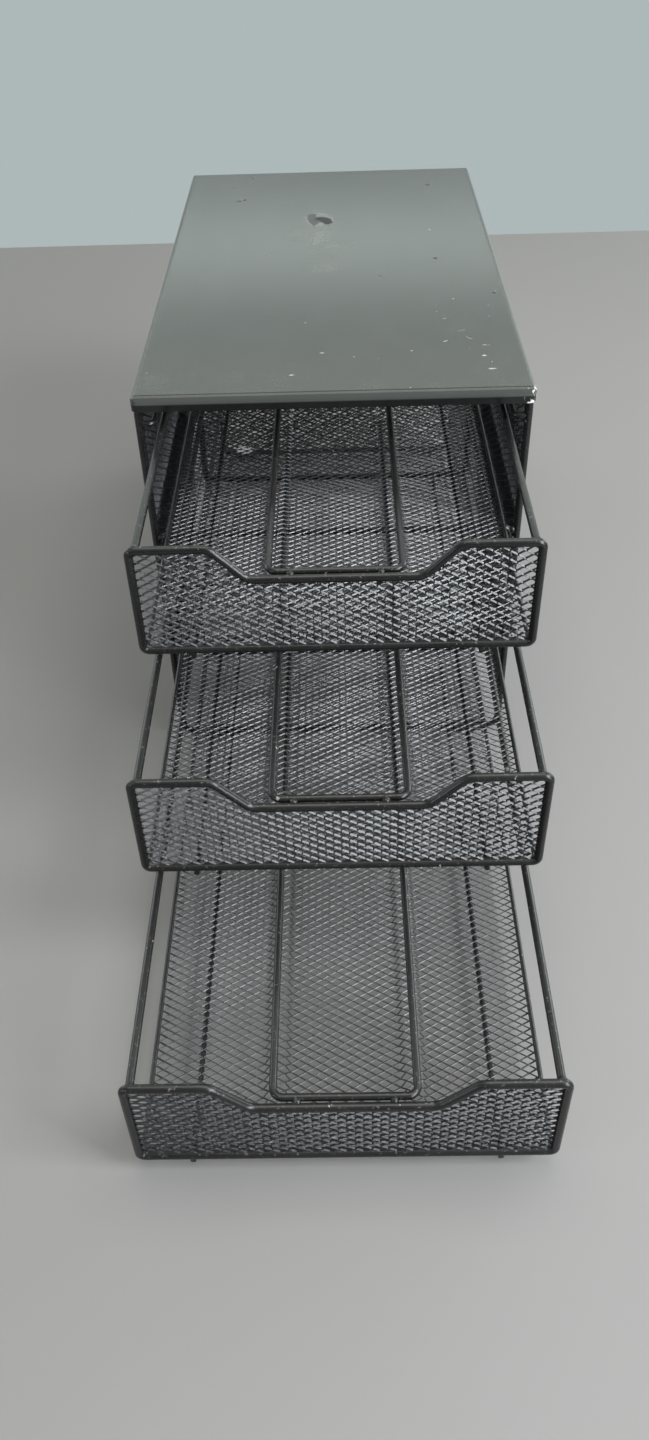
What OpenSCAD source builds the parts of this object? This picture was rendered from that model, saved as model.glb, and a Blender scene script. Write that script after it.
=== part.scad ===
// Pod cabinet: a narrow wire and mesh cabinet with three sliding drawers, each
// with a scooped front and a middle row kept apart by a U-shaped divider wire.
// The drawers are drawn pulled out in steps, the lowest one furthest.
// X runs across, the drawers open towards -Y, and the feet stand on Z = 0.

/* [Cabinet] */
// Outer width, over the top panel
case_w = 179; // [160:1:220]
// Outer depth, over the top panel
case_d = 321; // [280:1:380]
// Thickness of the top panel's sheet metal
sheet = 0.8; // [0.6:0.1:1.5]
// How far the top panel's edges turn down
lip_h = 7; // [5:0.5:12]
// Outer radius of the bend along the top panel's edges
lip_bend = 2.6; // [1.6:0.1:4]
// Radius of the top panel's corners, seen from above
panel_corner = 3.5; // [3:0.5:8]
// Wire diameter of the cabinet's front and rear frames
post_d = 3.6; // [3:0.1:4.5]
// Bend radius of those frames' corners, at the wire's centre
post_bend = 7; // [5:0.5:10]
// Wire diameter of the crossbars, guides and side rails
bar_d = 3; // [2.4:0.1:3.6]
// Bend radius of the crossbars' and guides' ends, at the wire's centre
bar_bend = 3; // [2:0.1:3]
// Straight length left at a crossbar's turned-down end
turn_leg = 0.5; // [0.2:0.1:0.8]
// How far the guides stand in from the posts
guide_stand = 4.6; // [4.4:0.1:5.2]
// Free height between a tier's guides and the crossbar above them
tier_gap = 2.5; // [2.5:0.1:8]
// Free height between the top guides and the frame's top wire
head_gap = 8; // [3:0.5:20]
// How far the side rails lie clear of the frames' bent corners
rail_gap = 0.6; // [0.2:0.1:4]

/* [Drawers] */
// Height of a drawer's frames, between wire centres
drawer_h = 48.5; // [44:0.5:60]
// Wire diameter of a drawer's front and rear frames
front_d = 3.5; // [3:0.1:4]
// Bend radius of those frames' corners, at the wire's centre
front_bend = 2.5; // [2.2:0.1:3]
// Width of the flat bottom of the scoop in the front
scoop_w = 69; // [60:1:80]
// Depth of the scoop
scoop_depth = 14.5; // [8:0.5:18]
// Width of each sloping side of the scoop
scoop_run = 14.5; // [12:0.5:18]
// Bend radius of the scoop's corners, at the wire's centre
scoop_bend = 7; // [4:0.5:9]
// Wire diameter of the upper side rods
rod_d = 3.2; // [2.4:0.1:3.4]
// How far the side rods stand in from the frames' side wires
rod_inset = 2.5; // [2.2:0.1:3.5]
// How far the side rods lie below the frames' top wire
rod_drop = 0.6; // [0:0.1:2]
// Distance between the legs of the divider wire
divider_w = 53.6; // [50:0.2:56]
// Wire diameter of the divider
divider_d = 3; // [2.4:0.1:3.4]
// Bend radius of the divider's corners, at the wire's centre
divider_bend = 4; // [3:0.5:8]
// How far the divider lies above the scoop's bottom wire
divider_rise = 1; // [0:0.1:2]
// Distance between the two stubs that weld the divider to the front
stub_span = 36; // [20:1:42]
// Diameter of those stubs
stub_d = 2.4; // [1.6:0.1:2.8]
// Wire diameter along the floor's side edges
edge_d = 2; // [1.6:0.1:2.6]
// How far those edge wires stand in from the frames' side wires
edge_inset = 1; // [0.6:0.1:2]
// Wire diameter of the floor's support wires and of the runners they match
support_d = 2.3; // [1.8:0.1:3]
// Distance between the two support wires
support_span = 119; // [100:1:126]
// How far the support wires reach past the frames' wire centres
support_tip = 1; // [0:0.1:1.6]

/* [Drawers' places] */
// How far the top drawer is pulled out
top_open = 97; // [0:1:270]
// How far the middle drawer is pulled out
middle_open = 160; // [0:1:270]
// How far the bottom drawer is pulled out
bottom_open = 251; // [0:1:270]

/* [Mesh] */
// Thickness of the expanded-metal panels
mesh_t = 0.8; // [0.6:0.1:1.2]
// Solid margin around a panel's openings
mesh_edge = 3; // [2:0.5:5]
// Width of a strand, drawn larger than life like the openings
mesh_strand = 4; // [3:0.5:6]
// Openings across a drawer's floor
floor_across = 3; // [2:1:4]
// Openings along a drawer's floor
floor_along = 7; // [4:1:9]

/* [Feet] */
// Length of a rubber foot along the frame's wire
foot_len = 12; // [8:1:14]
// Distance of each foot's centre from the cabinet's middle
foot_x = 69; // [68:0.5:70]
// Rubber under the frame's wire
foot_t = 1.5; // [1:0.1:2]
// Extra rubber round the wire, cut flat where the foot stands
foot_flat = 0.4; // [0.2:0.1:0.6]
// How far a foot's jaws reach up past the wire's centre
foot_grip = 0.9; // [0.4:0.1:1.2]

/* [Clearances] */
// Gap on each side between a drawer's frames and the posts
side_gap = 3.25; // [3:0.05:5]
// Running gap between a drawer and the wires it slides on or under
run_gap = 0.3; // [0.2:0.05:0.5]
// Gap left behind a closed drawer
stop_gap = 0.5; // [0.3:0.1:3]
// Gap left by the powder coat between touching pieces
coat = 0.1; // [0.05:0.01:0.15]

/* [Hidden] */
$fn = 13;
WIRE_COLOR = "#2b2d2d";
MESH_COLOR = "#3a3d3d";
PANEL_COLOR = "#5a5f5a";
RUBBER_COLOR = "#1c1c1c";
LEFT = -1;
RIGHT = 1;
BOTTOM = 0;
MIDDLE = 1;
TOP = 2;

// The beads that close a slanted bend: the sliver they fill, and their oversize
bead_sliver = 0.05;
bead_over = 0.02;

// Wire centres of the cabinet's frames
frame_x = case_w / 2 - sheet - coat - post_d / 2;
frame_y = case_d / 2 - sheet - coat - post_d / 2;
base_z = foot_t + post_d / 2;
ledge_z = base_z + post_d / 2;

// The stack of one tier, from the top of one crossbar to the top of the next
drawer_lift = run_gap + support_d + coat + front_d / 2;
guide_lift = drawer_h + front_d / 2 + run_gap + bar_d / 2;
tier_pitch = drawer_lift + guide_lift + bar_d / 2 + tier_gap + bar_d;

function ledge(tier) = ledge_z + tier * tier_pitch;
function drawer_z(tier) = ledge(tier) + drawer_lift;
function guide_z(tier) = drawer_z(tier) + guide_lift;
function crossbar_z(tier) = ledge(tier) - bar_d / 2;
top_z = guide_z(TOP) + bar_d / 2 + head_gap + post_d / 2;
case_h = top_z + post_d / 2 + coat + sheet;

// Sizes across and along a drawer, between its wire centres
drawer_w = 2 * (frame_x - post_d / 2 - side_gap) - front_d;
rear_stop_y = frame_y - mesh_t / 2;
drawer_len = rear_stop_y - stop_gap - front_d / 2 + frame_y;
opened = [bottom_open, middle_open, top_open];
function drawer_y(tier) = -frame_y - opened[tier];

// Heights inside a drawer, from its frames' bottom wire
floor_bottom = -front_d / 2;
support_z = floor_bottom - coat - support_d / 2;
divider_z = drawer_h - scoop_depth + divider_rise;
divider_y = front_d / 2 + 4 * coat + divider_d / 2;

// Where pieces end against a frame's wire or its mesh
behind_front = front_d / 2 + coat;
before_rear = drawer_len - front_d / 2 - coat;
rear_bar_y = rear_stop_y - coat - bar_d / 2;

// ---- Bent wires -------------------------------------------------------------

function heading(a, b) = atan2(b.y - a.y, b.x - a.x);
function turn(a, b) = (b - a + 540) % 360 - 180;
function along(angle, l) = [l * cos(angle), l * sin(angle)];
function before(path, i) = path[(i + len(path) - 1) % len(path)];
function after(path, i) = path[(i + 1) % len(path)];
function corner_turn(path, i) =
    turn(heading(before(path, i), path[i]), heading(path[i], after(path, i)));
function cut_back(path, bends, i) = bends[i] * tan(abs(corner_turn(path, i)) / 2);

// A straight wire from a to b, both in the plane of the path
module straight_wire(a, b, d) {
    translate([a.x, a.y, 0])
        rotate([0, 90, heading(a, b)])
            cylinder(d = d, h = norm(b - a));
}

// The bend at corner i of a path
module wire_bend(path, bends, i, d) {
    in_dir = heading(before(path, i), path[i]);
    sweep = corner_turn(path, i);
    start = path[i] - along(in_dir, cut_back(path, bends, i));
    side = sweep > 0 ? 90 : -90;
    centre = start + along(in_dir + side, bends[i]);
    translate([centre.x, centre.y, 0])
        rotate(sweep > 0 ? in_dir - 90 : in_dir + 90 + sweep)
            rotate_extrude(angle = abs(sweep))
                translate([bends[i], 0])
                    circle(d = d);
}

// Whether corner i turns by less than a right angle
function slanted(path, bends, i) = bends[i] > 0 && abs(corner_turn(path, i)) < 89;

// How much wire the bend at corner i takes, with the sliver left to its bead
function taken(path, bends, i) =
    bends[i] == 0 ? 0 : cut_back(path, bends, i) + (slanted(path, bends, i) ? bead_sliver : 0);

// Fine beads, a hair thicker than the wire, at both ends of a slanted bend
module bend_beads(path, bends, i, d) {
    reach = cut_back(path, bends, i);
    in_dir = heading(before(path, i), path[i]);
    out_dir = heading(path[i], after(path, i));
    for (p = [path[i] - along(in_dir, reach), path[i] + along(out_dir, reach)])
        translate([p.x, p.y, 0])
            sphere(d = d + bead_over);
}

// A wire bent round a flat path: bends holds each corner's radius, 0 at an open end
module bent_wire(path, bends, d, closed = false) {
    last = closed ? len(path) - 1 : len(path) - 2;
    for (i = [0:last]) {
        dir = heading(path[i], after(path, i));
        from = taken(path, bends, i);
        to = taken(path, bends, (i + 1) % len(path));
        straight_wire(path[i] + along(dir, from), after(path, i) - along(dir, to), d);
    }
    for (i = [0:len(path) - 1])
        if (bends[i] > 0)
            wire_bend(path, bends, i, d);
    for (i = [0:len(path) - 1])
        if (slanted(path, bends, i))
            bend_beads(path, bends, i, d);
}

// Turns a flat path's plane upright, across the cabinet at depth y
module upright(y) {
    translate([0, y, 0])
        rotate([90, 0, 0])
            children();
}

// A straight wire along Y
module wire_along(x, z, y0, y1, d) {
    translate([x, y0, z])
        rotate([-90, 0, 0])
            cylinder(d = d, h = y1 - y0);
}

// ---- Mesh panels ------------------------------------------------------------

// The path moved inwards by t, for a path that runs anticlockwise
function inward(a) = [-sin(a), cos(a)];
function inset_point(path, i, t) =
    let (n0 = inward(heading(before(path, i), path[i])),
         n1 = inward(heading(path[i], after(path, i))))
    path[i] + (n0 + n1) * t / (1 + n0 * n1);
function inset_path(path, t) = [for (i = [0:len(path) - 1]) inset_point(path, i, t)];

// A path's outline with each corner rounded, in steps of the given number
function rounded_corner(path, i, r, steps) =
    let (in_dir = heading(before(path, i), path[i]),
         sweep = corner_turn(path, i),
         side = sweep > 0 ? 90 : -90,
         start = path[i] - along(in_dir, r * tan(abs(sweep) / 2)),
         centre = start + along(in_dir + side, r))
    [for (k = [0:steps]) centre + along(in_dir - side + sweep * k / steps, r)];
function rounded_path(path, radii, steps = 4) =
    [for (i = [0:len(path) - 1]) each rounded_corner(path, i, radii[i], steps)];

// The outline inside a bent closed wire, clear of it all round
function inside_wire(path, bends, d) =
    let (t = d / 2 + coat)
    rounded_path(inset_path(path, t),
        [for (i = [0:len(path) - 1]) corner_turn(path, i) > 0 ? bends[i] - t : bends[i] + t]);

// Four corners of one diamond opening, for a cell of size w by h
function diamond(c, w, h) =
    let (slope = atan2(h, w),
         a = w / 2 - mesh_strand / 2 / sin(slope),
         b = h / 2 - mesh_strand / 2 / cos(slope))
    [c + [a, 0], c + [0, b], c - [a, 0], c - [0, b]];

// Staggered openings that fill the box from low to high, in nx by ny cells
function openings(low, high, nx, ny) =
    let (w = (high.x - low.x) / nx, h = (high.y - low.y) / ny)
    [for (j = [1:2 * ny - 1], i = [1:2 * nx - 1])
        if ((i + j) % 2 == 0)
            diamond(low + [i * w / 2, j * h / 2], w, h)];

// A sheet with the given outline and openings, centred on its own thickness
module mesh_sheet(outline, gaps) {
    corners = concat(outline, [for (g = gaps) each g]);
    rim = [for (i = [0:len(outline) - 1]) i];
    holes = [for (k = [0:1:len(gaps) - 1]) [for (i = [0:3]) len(outline) + 4 * k + i]];
    translate([0, 0, -mesh_t / 2])
        linear_extrude(mesh_t)
            polygon(corners, concat([rim], holes));
}

function box_outline(low, high) = [low, [high.x, low.y], high, [low.x, high.y]];

// A plain rectangular mesh panel
module mesh_panel(low, high, nx, ny) {
    margin = [mesh_edge, mesh_edge];
    mesh_sheet(box_outline(low, high), openings(low + margin, high - margin, nx, ny));
}

// ---- Cabinet ----------------------------------------------------------------

cabinet_path = [[-frame_x, base_z], [frame_x, base_z], [frame_x, top_z], [-frame_x, top_z]];
cabinet_bends = [post_bend, post_bend, post_bend, post_bend];

// A block with its top edges and upright corners rounded
module cap_block(w, d, h, edge_r, corner_r) {
    intersection() {
        translate([0, 0, -h])
            linear_extrude(h)
                rounded_rectangle(w, d, corner_r);
        rotate([90, 0, 0])
            linear_extrude(d, center = true)
                top_rounded_profile(w, h, edge_r);
        rotate([90, 0, 90])
            linear_extrude(w, center = true)
                top_rounded_profile(d, h, edge_r);
    }
}

module rounded_rectangle(w, d, r) {
    square([w - 2 * r, d], center = true);
    square([w, d - 2 * r], center = true);
    for (x = [-1, 1], y = [-1, 1])
        translate([x * (w / 2 - r), y * (d / 2 - r)])
            circle(r);
}

// A rectangle that hangs below the axis, with its two upper corners rounded
module top_rounded_profile(w, h, r) {
    translate([-w / 2, -h])
        square([w, h - r]);
    translate([-w / 2 + r, -h])
        square([w - 2 * r, h]);
    for (x = [-1, 1])
        translate([x * (w / 2 - r), -r])
            circle(r);
}

// Solid sheet top with its four edges turned down over the frames
module top_panel() {
    color(PANEL_COLOR)
        translate([0, 0, case_h])
            difference() {
                cap_block(case_w, case_d, lip_h, lip_bend, panel_corner, $fn = 24);
                translate([0, 0, -sheet])
                    cap_block(case_w - 2 * sheet, case_d - 2 * sheet, lip_h,
                        lip_bend - sheet, panel_corner - sheet, $fn = 24);
            }
}

// Closed loop of heavy wire that gives two posts, a sill and a top bar
module cabinet_frame(y) {
    color(WIRE_COLOR)
        upright(y)
            bent_wire(cabinet_path, cabinet_bends, post_d, closed = true);
}

// Side rail between the two frames, just clear of their bent corners
module rail(side, z) {
    color(WIRE_COLOR)
        wire_along(side * frame_x, z, -frame_y + post_d / 2 + coat,
            frame_y - post_d / 2 - coat, bar_d);
}

lower_rail_z = base_z + post_bend + rail_gap + bar_d / 2;
upper_rail_z = top_z - post_bend - rail_gap - bar_d / 2;

// Mesh wall between the posts and the two side rails
module side_mesh(side) {
    reach = frame_y - post_d / 2 - coat;
    color(MESH_COLOR)
        translate([side * frame_x, 0, 0])
            rotate([90, 0, 90])
                mesh_panel([-reach, lower_rail_z + bar_d / 2 + coat],
                    [reach, upper_rail_z - bar_d / 2 - coat], 4, 3);
}

// Mesh back that fills the rear frame
module rear_mesh() {
    margin = post_d / 2 + coat + mesh_edge;
    low = cabinet_path[0] + [margin, margin];
    high = cabinet_path[2] - [margin, margin];
    color(MESH_COLOR)
        upright(frame_y)
            mesh_sheet(inside_wire(cabinet_path, cabinet_bends, post_d),
                openings(low, high, 3, 3));
}

// Crossbar between two tiers, its ends turned down against the posts
module crossbar(tier, y) {
    x = frame_x - post_d / 2 - coat - bar_d / 2;
    z = crossbar_z(tier);
    foot = z - bar_bend - turn_leg;
    color(WIRE_COLOR)
        upright(y)
            bent_wire([[-x, foot], [-x, z], [x, z], [x, foot]],
                [0, bar_bend, bar_bend, 0], bar_d);
}

// Guide wires above a drawer's side rods, their ends turned out to the posts
module guides(tier) {
    x = frame_x - post_d / 2 - guide_stand;
    end_x = frame_x - post_d / 2 - coat;
    color(WIRE_COLOR)
        for (side = [LEFT, RIGHT])
            translate([0, 0, guide_z(tier)])
                bent_wire([[side * end_x, -frame_y], [side * x, -frame_y],
                           [side * x, rear_bar_y], [side * end_x, rear_bar_y]],
                    [0, bar_bend, bar_bend, 0], bar_d);
}

// Runner wires laid on the crossbars, under the ends of a drawer's frames
module runners(tier) {
    z = ledge(tier) + coat + support_d / 2;
    color(WIRE_COLOR)
        for (side = [LEFT, RIGHT])
            wire_along(side * (drawer_w / 2 - edge_inset), z, -frame_y,
                rear_stop_y - coat, support_d);
}

// Rubber feet clipped from below on the sills of both frames
module feet() {
    r = post_d / 2 + foot_t + foot_flat;
    color(RUBBER_COLOR)
        for (x = [-foot_x, foot_x], y = [-frame_y, frame_y])
            translate([x, y, base_z])
                intersection() {
                    rotate([0, 90, 0])
                        difference() {
                            cylinder(r = r, h = foot_len, center = true);
                            cylinder(r = post_d / 2 + coat, h = foot_len + 1, center = true);
                        }
                    translate([-foot_len / 2, -r, -base_z])
                        cube([foot_len, 2 * r, base_z + foot_grip]);
                }
}

// ---- Drawers ----------------------------------------------------------------

half_w = drawer_w / 2;
scoop_top_x = scoop_w / 2 + scoop_run;
scoop_z = drawer_h - scoop_depth;
front_path = [[-half_w, 0], [half_w, 0], [half_w, drawer_h], [scoop_top_x, drawer_h],
              [scoop_w / 2, scoop_z], [-scoop_w / 2, scoop_z],
              [-scoop_top_x, drawer_h], [-half_w, drawer_h]];
front_bends = [front_bend, front_bend, front_bend, scoop_bend,
               scoop_bend, scoop_bend, scoop_bend, front_bend];
rear_path = [[-half_w, 0], [half_w, 0], [half_w, drawer_h], [-half_w, drawer_h]];
rear_bends = [front_bend, front_bend, front_bend, front_bend];

module in_drawer(tier) {
    translate([0, drawer_y(tier), drawer_z(tier)])
        children();
}

// Closed wire loop of the front, its top wire dipping into the scoop
module drawer_front(tier) {
    color(WIRE_COLOR)
        in_drawer(tier)
            upright(0)
                bent_wire(front_path, front_bends, front_d, closed = true);
}

// Closed wire loop of the back
module drawer_rear(tier) {
    color(WIRE_COLOR)
        in_drawer(tier)
            upright(drawer_len)
                bent_wire(rear_path, rear_bends, front_d, closed = true);
}

// Mesh that fills the scooped front
module drawer_front_mesh(tier) {
    margin = front_d / 2 + coat + mesh_edge;
    low = [-half_w + margin, margin];
    high = [half_w - margin, scoop_z - margin];
    color(MESH_COLOR)
        in_drawer(tier)
            upright(0)
                mesh_sheet(inside_wire(front_path, front_bends, front_d),
                    openings(low, high, 5, 1));
}

// Mesh that fills the back
module drawer_rear_mesh(tier) {
    margin = front_d / 2 + coat + mesh_edge;
    low = [-half_w + margin, margin];
    high = [half_w - margin, drawer_h - margin];
    color(MESH_COLOR)
        in_drawer(tier)
            upright(drawer_len)
                mesh_sheet(inside_wire(rear_path, rear_bends, front_d),
                    openings(low, high, 4, 1));
}

// Mesh floor, laid on the support wires between the edge wires
module drawer_floor_mesh(tier) {
    reach = half_w - edge_inset - edge_d / 2 - coat;
    color(MESH_COLOR)
        in_drawer(tier)
            translate([0, 0, floor_bottom + mesh_t / 2])
                mesh_panel([-reach, behind_front], [reach, before_rear],
                    floor_across, floor_along);
}

// Wires along the floor's two side edges
module drawer_floor_edges(tier) {
    color(WIRE_COLOR)
        in_drawer(tier)
            for (side = [LEFT, RIGHT])
                wire_along(side * (half_w - edge_inset), 0, behind_front, before_rear, edge_d);
}

// Two wires under the floor, from the front frame to the rear one
module drawer_supports(tier) {
    color(WIRE_COLOR)
        in_drawer(tier)
            for (side = [LEFT, RIGHT])
                wire_along(side * support_span / 2, support_z, -support_tip,
                    drawer_len + support_tip, support_d);
}

// Upper side rod between the front and rear frames
module drawer_rod(tier, side) {
    color(WIRE_COLOR)
        in_drawer(tier)
            wire_along(side * (half_w - rod_inset), drawer_h - rod_drop,
                behind_front, before_rear, rod_d);
}

// U-shaped wire that keeps the middle row apart, stubbed to the scoop's wire
module drawer_divider(tier) {
    x = divider_w / 2;
    back = drawer_len - mesh_t / 2 - coat;
    color(WIRE_COLOR)
        in_drawer(tier)
            translate([0, 0, divider_z]) {
                bent_wire([[-x, back], [-x, divider_y], [x, divider_y], [x, back]],
                    [0, divider_bend, divider_bend, 0], divider_d);
                for (side = [LEFT, RIGHT])
                    wire_along(side * stub_span / 2, 0, behind_front, divider_y, stub_d);
            }
}

// ---- Assembly ---------------------------------------------------------------

top_panel();
cabinet_frame(-frame_y);  // front_frame
cabinet_frame(frame_y);  // rear_frame
rail(LEFT, upper_rail_z);  // upper_rail_left
rail(RIGHT, upper_rail_z);  // upper_rail_right
rail(LEFT, lower_rail_z);  // lower_rail_left
rail(RIGHT, lower_rail_z);  // lower_rail_right
side_mesh(LEFT);  // side_mesh_left
side_mesh(RIGHT);  // side_mesh_right
rear_mesh();
crossbar(TOP, -frame_y);  // front_crossbar_upper
crossbar(MIDDLE, -frame_y);  // front_crossbar_lower
crossbar(TOP, rear_bar_y);  // rear_crossbar_upper
crossbar(MIDDLE, rear_bar_y);  // rear_crossbar_lower
guides(TOP);  // guides_top
guides(MIDDLE);  // guides_middle
guides(BOTTOM);  // guides_bottom
runners(TOP);  // runners_top
runners(MIDDLE);  // runners_middle
runners(BOTTOM);  // runners_bottom
feet();

drawer_front(TOP);  // top_drawer_front
drawer_front_mesh(TOP);  // top_drawer_front_mesh
drawer_rear(TOP);  // top_drawer_rear
drawer_rear_mesh(TOP);  // top_drawer_rear_mesh
drawer_floor_mesh(TOP);  // top_drawer_floor_mesh
drawer_floor_edges(TOP);  // top_drawer_floor_edges
drawer_supports(TOP);  // top_drawer_supports
drawer_rod(TOP, LEFT);  // top_drawer_rod_left
drawer_rod(TOP, RIGHT);  // top_drawer_rod_right
drawer_divider(TOP);  // top_drawer_divider

drawer_front(MIDDLE);  // middle_drawer_front
drawer_front_mesh(MIDDLE);  // middle_drawer_front_mesh
drawer_rear(MIDDLE);  // middle_drawer_rear
drawer_rear_mesh(MIDDLE);  // middle_drawer_rear_mesh
drawer_floor_mesh(MIDDLE);  // middle_drawer_floor_mesh
drawer_floor_edges(MIDDLE);  // middle_drawer_floor_edges
drawer_supports(MIDDLE);  // middle_drawer_supports
drawer_rod(MIDDLE, LEFT);  // middle_drawer_rod_left
drawer_rod(MIDDLE, RIGHT);  // middle_drawer_rod_right
drawer_divider(MIDDLE);  // middle_drawer_divider

drawer_front(BOTTOM);  // bottom_drawer_front
drawer_front_mesh(BOTTOM);  // bottom_drawer_front_mesh
drawer_rear(BOTTOM);  // bottom_drawer_rear
drawer_rear_mesh(BOTTOM);  // bottom_drawer_rear_mesh
drawer_floor_mesh(BOTTOM);  // bottom_drawer_floor_mesh
drawer_floor_edges(BOTTOM);  // bottom_drawer_floor_edges
drawer_supports(BOTTOM);  // bottom_drawer_supports
drawer_rod(BOTTOM, LEFT);  // bottom_drawer_rod_left
drawer_rod(BOTTOM, RIGHT);  // bottom_drawer_rod_right
drawer_divider(BOTTOM);  // bottom_drawer_divider
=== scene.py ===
import math

import bpy
from mathutils import Matrix, Vector


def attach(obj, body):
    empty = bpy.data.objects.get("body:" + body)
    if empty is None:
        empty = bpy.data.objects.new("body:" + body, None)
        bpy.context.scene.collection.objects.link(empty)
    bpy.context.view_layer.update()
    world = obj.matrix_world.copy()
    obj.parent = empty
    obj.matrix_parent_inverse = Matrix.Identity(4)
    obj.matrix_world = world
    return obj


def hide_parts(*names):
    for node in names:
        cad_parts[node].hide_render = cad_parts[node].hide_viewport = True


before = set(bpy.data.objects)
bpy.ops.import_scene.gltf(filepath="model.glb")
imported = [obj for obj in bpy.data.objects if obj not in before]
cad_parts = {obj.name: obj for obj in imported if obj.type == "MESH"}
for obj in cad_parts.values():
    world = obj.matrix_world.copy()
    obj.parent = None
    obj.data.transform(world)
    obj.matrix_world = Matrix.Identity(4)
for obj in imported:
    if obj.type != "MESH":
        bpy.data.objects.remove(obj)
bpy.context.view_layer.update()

# A wire cabinet with three sliding drawers. The solids of its wires, top panel and feet are
# carried over. Fine expanded metal replaces the plain sheets that stand for its meshes, and
# weld beads and the cut ends of the floors' strands are added.
#
# Lengths are in metres, in the solids' own frame: X runs across, the drawers open towards -Y,
# and the feet stand on Z = 0. Where a wire is placed or measured, it is by its centre.

MM = 0.001

# The top panel: half its width, half its depth, and its upper face.
PANEL_X = 89.5 * MM
PANEL_Y = 160.5 * MM
PANEL_TOP = 202.6 * MM

# The cabinet's wires.
POST_X = 86.8 * MM
FRAME_Y = 157.8 * MM
SILL_Z = 3.3 * MM
TOP_BAR_Z = 199.9 * MM
LOWER_RAIL_Z = 12.4 * MM
UPPER_RAIL_Z = 190.8 * MM
REAR_BAR_Y = 154.9 * MM
CROSSBAR_END_X = 84.9 * MM
GUIDE_END_X = 85.0 * MM

# The tiers, from the bottom up: how far each drawer is pulled out at rest, and the height of
# the ledge that carries it. Crossbars and guides are placed from that ledge.
OPENED = {"bottom": 251.0 * MM, "middle": 160.0 * MM, "top": 97.0 * MM}
LOWEST_LEDGE = 5.1 * MM
TIER_PITCH = 63.5 * MM
LEDGES = {tier: LOWEST_LEDGE + count * TIER_PITCH for count, tier in enumerate(OPENED)}
CROSSBAR_END_DROP = 2.5 * MM
GUIDE_LIFT = 56.5 * MM

# A drawer, from the middle of its front frame's bottom wire, and how far that wire is above
# the ledge.
DRAWER_LIFT = 4.45 * MM
DRAWER_W = 160.0 * MM
DRAWER_H = 48.5 * MM
DRAWER_L = 312.95 * MM
SCOOP_FLAT = 34.5 * MM
SCOOP_EDGE = 49.0 * MM
SCOOP_Z = 34.0 * MM
STUB_X = 18.0 * MM
LEG_X = 26.8 * MM
DIVIDER_Z = 35.0 * MM
ROD_X = 77.5 * MM
ROD_Z = 47.9 * MM
EDGE_X = 79.0 * MM
SUPPORT_X = 59.5 * MM
FLOOR_MESH_Z = -1.35 * MM

# Expanded metal: the long and short way of one diamond, its strands and its bonds.
LONG_WAY = 6.4 * MM
SHORT_WAY = 3.78 * MM
STRAND_W = 0.72 * MM
STRAND_T = 0.44 * MM
STRAND_LEAN = math.radians(-42)
BOND_L = 1.05 * MM
BOND_W = 1.15 * MM

# The two ribs pressed into a drawer's floor, across its flat mesh. Each slope of a rib takes up
# a little of the mesh's width.
RIB_RISE_AT = 22.4 * MM
RIB_FALL_AT = 32.0 * MM
RIB_SLOPE = 3.2 * MM
RIB_HEIGHT = 2.2 * MM
RIB_TAKE_UP = 0.9 * MM

# Weld beads of a drawer: how far in from the frame's wire, how far up, and the bead's radius.
ROD_WELD = (1.2 * MM, 0.3 * MM, 1.9 * MM)
EDGE_WELD = (2.0 * MM, 0.0, 1.6 * MM)
SUPPORT_WELD = (0.2 * MM, -2.0 * MM, 1.4 * MM)
STUB_FRONT_WELD = (1.9 * MM, 0.8 * MM, 1.6 * MM)
STUB_DIVIDER_WELD = (3.2 * MM, 1.2 * MM, 1.3 * MM)
LEG_WELD = (1.0 * MM, 0.0, 1.7 * MM)

# Radii of the cabinet's weld beads, and how far the side rails' beads lie in from the frames.
GUIDE_BEAD = 1.35 * MM
CROSSBAR_BEAD = 1.7 * MM
RUNNER_BEAD = 1.3 * MM
RAIL_BEAD = 1.7 * MM
RAIL_BEAD_IN = 1.4 * MM

# The cut end of each strand along a floor's side edges: inside the edge wire, above it, radius.
STRAND_END_IN = 0.7 * MM
STRAND_END_UP = 0.35 * MM
STRAND_END_BEAD = 0.55 * MM

# A bead's subdivisions and how much its sizes differ, and the seeds of the sets of beads.
WELD_SHAPE = (3, 0.16)
STRAND_END_SHAPE = (1, 0.35)
CABINET_WELD_SEED = 3
DRAWER_WELD_SEED = 10
STRAND_END_SEED = 20


# ---- Node trees written as expressions --------------------------------------

def both_ways(operation):
    """An operator's method and its reflected one, which each add a Math node."""
    def forward(self, other):
        return self.math(operation, self, other)

    def reflected(self, other):
        return self.math(operation, other, self)

    return forward, reflected


class Signal:
    """One output socket; maths on it adds Math nodes, and a | b is the larger of two signals."""

    def __init__(self, tree, socket):
        self.tree = tree
        self.socket = socket

    def math(self, operation, a, b=0.0):
        return self.tree.add("ShaderNodeMath", {"operation": operation}, {0: a, 1: b})

    __add__, __radd__ = both_ways("ADD")
    __sub__, __rsub__ = both_ways("SUBTRACT")
    __mul__, __rmul__ = both_ways("MULTIPLY")
    __truediv__, __rtruediv__ = both_ways("DIVIDE")
    __mod__, __rmod__ = both_ways("FLOORED_MODULO")
    __pow__, __rpow__ = both_ways("POWER")
    __or__, __ror__ = both_ways("MAXIMUM")

    def __lt__(self, other):
        return self.math("LESS_THAN", self, other)

    def __gt__(self, other):
        return self.math("GREATER_THAN", self, other)

    def __abs__(self):
        return self.math("ABSOLUTE", self)

    def floor(self):
        return self.math("FLOOR", self)

    def sign(self):
        return self.math("SIGN", self)

    def arctan2(self, other):
        return self.math("ARCTAN2", self, other)

    def out(self, which):
        """Another output of the node that this signal comes from."""
        return Signal(self.tree, self.socket.node.outputs[which])


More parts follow.
